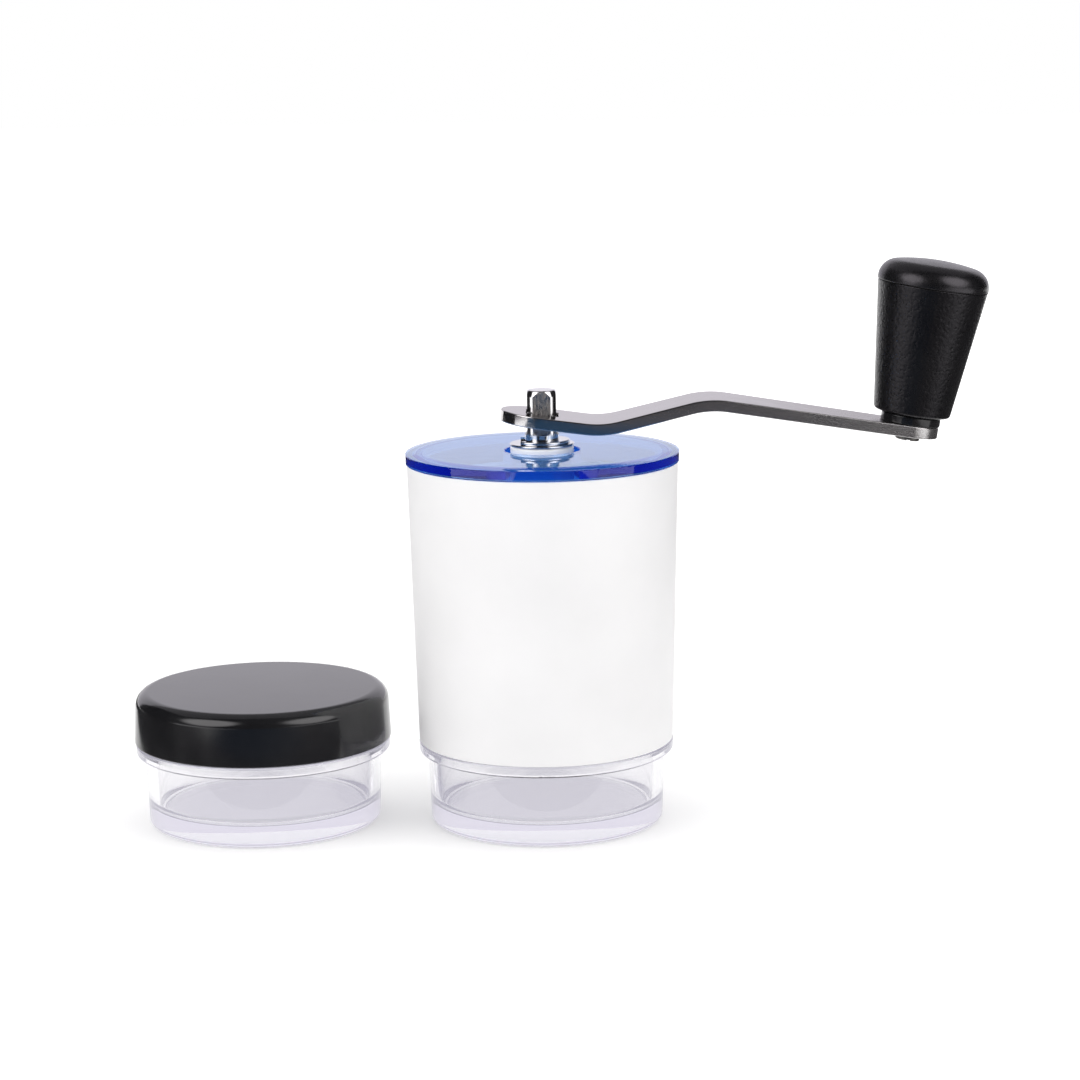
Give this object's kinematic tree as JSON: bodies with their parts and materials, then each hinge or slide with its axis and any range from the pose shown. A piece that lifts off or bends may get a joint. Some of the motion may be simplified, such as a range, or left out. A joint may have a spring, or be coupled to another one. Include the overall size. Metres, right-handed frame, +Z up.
{
  "type": "manual coffee grinder",
  "caption": "Hand cranked coffee mill: white tapered hopper on a clear screw-on jar, see-through blue lid, bent steel crank with a black knob, and a spare capped jar.",
  "frame": {"origin": "centre of the grounds jar's base on the table, on the shaft's axis", "axes": "+Z up along the shaft, +X towards the crank's knob as pictured, +Y away from the viewer"},
  "size_m": [0.2534, 0.0815, 0.1657],
  "materials": {
    "clear_plastic": "clear, glossy",
    "white_plastic": "satin white",
    "bush_plastic": "slightly translucent white",
    "blue_plastic": "see-through, glossy",
    "burr_ceramic": "unglazed, ground",
    "dark_plastic": "moulded, matte",
    "bright_steel": "turned, bright",
    "arm_steel": "brushed along its length",
    "insert_brass": "turned",
    "gloss_black": "polished",
    "grip_black": "fine moulded grain",
    "liner_foam": "closed foam"
  },
  "bodies": {
    "jar": {"grounds_jar": "clear_plastic"},
    "mill": {"hopper_body": "white_plastic", "top_bridge": "white_plastic", "upper_bush": "bush_plastic", "lower_bridge": "white_plastic", "lower_bush": "bush_plastic", "outer_burr": "burr_ceramic", "burr_retainer": "dark_plastic", "retainer_screws": "bright_steel"},
    "spindle": {"drive_shaft": "bright_steel", "thrust_washer": "bright_steel", "shaft_clip": "bright_steel", "spring_seat": "bright_steel", "burr_spring": "bright_steel"},
    "burr_carriage": {"inner_burr": "burr_ceramic", "click_plate": "bright_steel"},
    "adjuster": {"adjusting_nut": "dark_plastic", "nut_insert": "insert_brass"},
    "crank": {"crank_arm": "arm_steel", "knob_collar": "gloss_black", "knob_axle": "bright_steel", "axle_screw": "bright_steel"},
    "knob": {"knob_grip": "grip_black", "knob_cap": "grip_black"},
    "lid": {"hopper_lid": "blue_plastic"},
    "spare": {"spare_jar": "clear_plastic"},
    "spare_cap": {"storage_cap": "gloss_black", "cap_liner": "liner_foam"}
  },
  "joints": [
    {"name": "mill_lift", "type": "slide", "parent": "jar", "child": "mill", "axis": [0, 0, 1], "range_m": [0, 0.06]},
    {"name": "shaft_turn", "type": "hinge", "parent": "mill", "child": "spindle", "pos_m": [0, 0, 0.1077], "axis": [0, 0, 1], "continuous": true},
    {"name": "burr_gap", "type": "slide", "parent": "spindle", "child": "burr_carriage", "axis": [0, 0, 1], "range_m": [-0.0015, 0.001], "deforming": ["burr_spring"]},
    {"name": "adjust_turn", "type": "hinge", "parent": "burr_carriage", "child": "adjuster", "pos_m": [0, 0, 0.0265], "axis": [0, 0, 1], "range_deg": [-675, 450]},
    {"name": "crank_lift", "type": "slide", "parent": "spindle", "child": "crank", "axis": [0, 0, 1], "range_m": [0, 0.025]},
    {"name": "knob_spin", "type": "hinge", "parent": "crank", "child": "knob", "pos_m": [0.10754, 0, 0.11578], "axis": [0.1564, 0, 0.9877], "continuous": true},
    {"name": "lid_lift", "type": "slide", "parent": "mill", "child": "lid", "axis": [0, 0, 1], "range_m": [0, 0.005]},
    {"name": "spare_lift", "type": "slide", "parent": "jar", "child": "spare", "axis": [0, 0, 1], "range_m": [0, 0.03]},
    {"name": "cap_lift", "type": "slide", "parent": "spare", "child": "spare_cap", "axis": [0, 0, 1], "range_m": [0, 0.03]}
  ],
  "couplings": [
    {"joint": "adjust_turn", "follows": "burr_gap", "rad_per_m": 7853.9}
  ]
}
